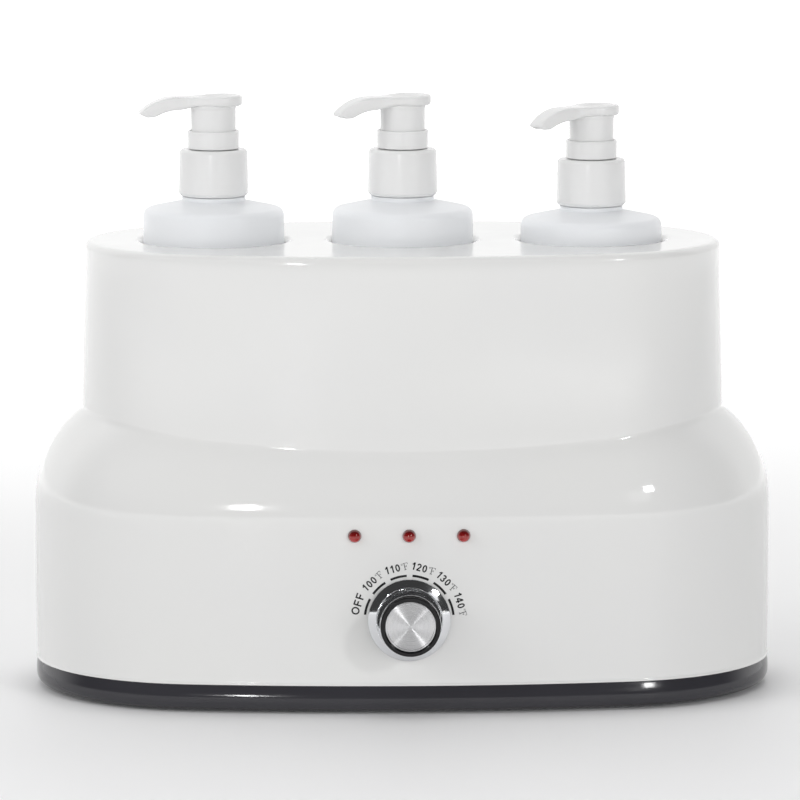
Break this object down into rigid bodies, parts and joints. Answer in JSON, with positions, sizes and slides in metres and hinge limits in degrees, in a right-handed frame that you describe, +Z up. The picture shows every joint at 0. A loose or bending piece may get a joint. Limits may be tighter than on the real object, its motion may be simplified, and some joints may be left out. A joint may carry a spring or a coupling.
{
  "type": "massage oil warmer",
  "caption": "White two-tier massage oil warmer with heated wells for pump bottles, red indicator lamps and a chrome temperature knob on its front",
  "frame": {"origin": "on the table, under the middle of the bounding box", "axes": "+X to the viewer's right, +Y away from the viewer, +Z up; the dial faces -Y"},
  "size_m": [0.31, 0.181, 0.2491],
  "materials": {
    "housing": "gloss white moulding",
    "base": "satin dark grey moulding",
    "foot": "black rubber",
    "fastener": "plated steel",
    "ceramic": "pale moulded insulator",
    "dark_plastic": "black phenolic case",
    "board": "green laminate",
    "knob_chrome": "bright chrome",
    "knob_black": "black gloss",
    "knob_spun": "circular spun",
    "well": "drawn, satin",
    "heater": "silicone rubber mat",
    "lamp": "clear red lens",
    "bottle": "translucent, natural",
    "pump_white": "white moulding",
    "pump_inner": "natural moulding",
    "gasket": "soft grey seal"
  },
  "bodies": {
    "warmer": {"housing": "housing", "base_tray": "base", "feet": "foot", "base_screws": "fastener", "well_screws": "fastener", "thermostat": "ceramic", "thermostat_nut": "fastener", "thermal_cutoff": "dark_plastic", "terminal_block": "ceramic", "lamp_board": "board", "cord_gland": "foot", "well_left": "well", "well_centre": "well", "well_right": "well", "heater_left": "heater", "heater_centre": "heater", "heater_right": "heater", "lamp_left": "lamp", "lamp_centre": "lamp", "lamp_right": "lamp"},
    "knob": {"knob_skirt": "knob_chrome", "knob_ring": "knob_black", "knob_face": "knob_spun", "thermostat_shaft": "fastener"},
    "bottle_body_left": {"bottle_left": "bottle"},
    "pump_left": {"pump_body_left": "pump_inner", "lock_ring_left": "pump_white", "pump_gasket_left": "gasket", "dip_tube_left": "pump_inner", "valve_ball_left": "fastener", "pump_spring_left": "fastener"},
    "collar_left": {"pump_collar_left": "pump_white"},
    "plunger_left": {"pump_stem_left": "pump_inner"},
    "head_left": {"pump_head_left": "pump_white"},
    "bottle_body_centre": {"bottle_centre": "bottle"},
    "pump_centre": {"pump_body_centre": "pump_inner", "lock_ring_centre": "pump_white", "pump_gasket_centre": "gasket", "dip_tube_centre": "pump_inner", "valve_ball_centre": "fastener", "pump_spring_centre": "fastener"},
    "collar_centre": {"pump_collar_centre": "pump_white"},
    "plunger_centre": {"pump_stem_centre": "pump_inner"},
    "head_centre": {"pump_head_centre": "pump_white"},
    "bottle_body_right": {"bottle_right": "bottle"},
    "pump_right": {"pump_body_right": "pump_inner", "lock_ring_right": "pump_white", "pump_gasket_right": "gasket", "dip_tube_right": "pump_inner", "valve_ball_right": "fastener", "pump_spring_right": "fastener"},
    "collar_right": {"pump_collar_right": "pump_white"},
    "plunger_right": {"pump_stem_right": "pump_inner"},
    "head_right": {"pump_head_right": "pump_white"}
  },
  "joints": [
    {"name": "knob_turn", "type": "hinge", "parent": "warmer", "child": "knob", "pos_m": [0, -0.07335, 0.0398], "axis": [0, -1, 0], "range_deg": [0, 146]},
    {"name": "bottle_lift_left", "type": "slide", "parent": "warmer", "child": "bottle_body_left", "axis": [0, 0, 1], "range_m": [0, 0.1]},
    {"name": "pump_lift_left", "type": "slide", "parent": "bottle_body_left", "child": "pump_left", "axis": [0, 0, 1], "range_m": [0, 0.13]},
    {"name": "collar_turn_left", "type": "hinge", "parent": "pump_left", "child": "collar_left", "pos_m": [-0.0793, 0.00745, 0.2176], "axis": [0, 0, 1], "continuous": true},
    {"name": "plunger_stroke_left", "type": "slide", "parent": "pump_left", "child": "plunger_left", "axis": [0, 0, 1], "range_m": [0, 0.016], "deforming": ["pump_spring_left"]},
    {"name": "head_swivel_left", "type": "hinge", "parent": "plunger_left", "child": "head_left", "pos_m": [-0.0793, 0.00745, 0.2423], "axis": [0, 0, 1], "continuous": true},
    {"name": "bottle_lift_centre", "type": "slide", "parent": "warmer", "child": "bottle_body_centre", "axis": [0, 0, 1], "range_m": [0, 0.1]},
    {"name": "pump_lift_centre", "type": "slide", "parent": "bottle_body_centre", "child": "pump_centre", "axis": [0, 0, 1], "range_m": [0, 0.13]},
    {"name": "collar_turn_centre", "type": "hinge", "parent": "pump_centre", "child": "collar_centre", "pos_m": [0, 0.00745, 0.2176], "axis": [0, 0, 1], "continuous": true},
    {"name": "plunger_stroke_centre", "type": "slide", "parent": "pump_centre", "child": "plunger_centre", "axis": [0, 0, 1], "range_m": [0, 0.016], "deforming": ["pump_spring_centre"]},
    {"name": "head_swivel_centre", "type": "hinge", "parent": "plunger_centre", "child": "head_centre", "pos_m": [0, 0.00745, 0.2423], "axis": [0, 0, 1], "continuous": true},
    {"name": "bottle_lift_right", "type": "slide", "parent": "warmer", "child": "bottle_body_right", "axis": [0, 0, 1], "range_m": [0, 0.1]},
    {"name": "pump_lift_right", "type": "slide", "parent": "bottle_body_right", "child": "pump_right", "axis": [0, 0, 1], "range_m": [0, 0.13]},
    {"name": "collar_turn_right", "type": "hinge", "parent": "pump_right", "child": "collar_right", "pos_m": [0.0793, 0.00745, 0.2131], "axis": [0, 0, 1], "continuous": true},
    {"name": "plunger_stroke_right", "type": "slide", "parent": "pump_right", "child": "plunger_right", "axis": [0, 0, 1], "range_m": [0, 0.016], "deforming": ["pump_spring_right"]},
    {"name": "head_swivel_right", "type": "hinge", "parent": "plunger_right", "child": "head_right", "pos_m": [0.0793, 0.00745, 0.2378], "axis": [0, 0, 1], "continuous": true}
  ]
}
